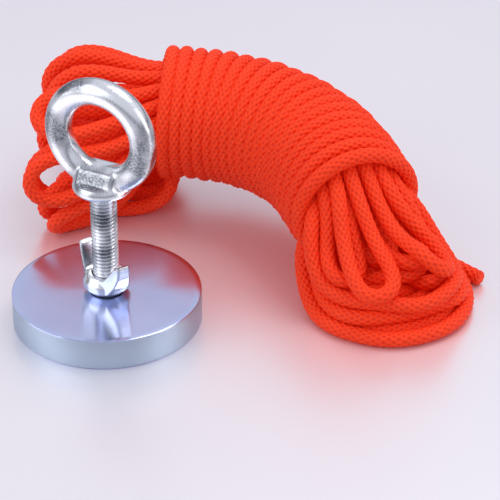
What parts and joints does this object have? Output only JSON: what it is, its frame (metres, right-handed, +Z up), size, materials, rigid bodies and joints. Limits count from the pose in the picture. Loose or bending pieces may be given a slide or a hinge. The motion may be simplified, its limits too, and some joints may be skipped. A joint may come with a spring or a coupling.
{
  "type": "magnet fishing magnet",
  "caption": "Round steel pot magnet with a screw-in eye bolt and locking wing nut, shown with its hank of braided retrieval rope.",
  "frame": {"origin": "centre of the magnet's pull face, on the surface it rests on", "axes": "+Z up the eye bolt, +X along the plane of the eye ring, +Y through the eye towards the rope"},
  "size_m": [0.1946, 0.1611, 0.1002],
  "materials": {
    "plated_pot": "bright nickel plating over turned steel",
    "turned_steel": "turned",
    "magnet_plating": "nickel plated",
    "resin": "cast",
    "zinc_forging": "bright zinc plating over a forging",
    "zinc_casting": "bright zinc plating over a casting",
    "orange_cord": "braided polypropylene"
  },
  "bodies": {
    "magnet": {"steel_pot": "plated_pot", "threaded_bush": "turned_steel", "ring_magnet": "magnet_plating", "outer_resin_ring": "resin", "inner_resin_ring": "resin"},
    "eye_bolt": {"eye_bolt": "zinc_forging"},
    "wing_nut": {"wing_nut": "zinc_casting"},
    "rope": {"rope_wraps": "orange_cord", "rope_loops_left": "orange_cord", "rope_loops_right": "orange_cord", "rope_tail": "orange_cord"}
  },
  "joints": [
    {"name": "eye_bolt_turn", "type": "hinge", "parent": "magnet", "child": "eye_bolt", "pos_m": [0, 0, 0.0123], "axis": [0, 0, 1], "continuous": true},
    {"name": "wing_nut_turn", "type": "hinge", "parent": "eye_bolt", "child": "wing_nut", "pos_m": [0, 0, 0.0126], "axis": [0, 0, 1], "continuous": true},
    {"name": "rope_lift", "type": "slide", "parent": "magnet", "child": "rope", "axis": [0, 0, 1], "range_m": [0, 0.15]}
  ]
}
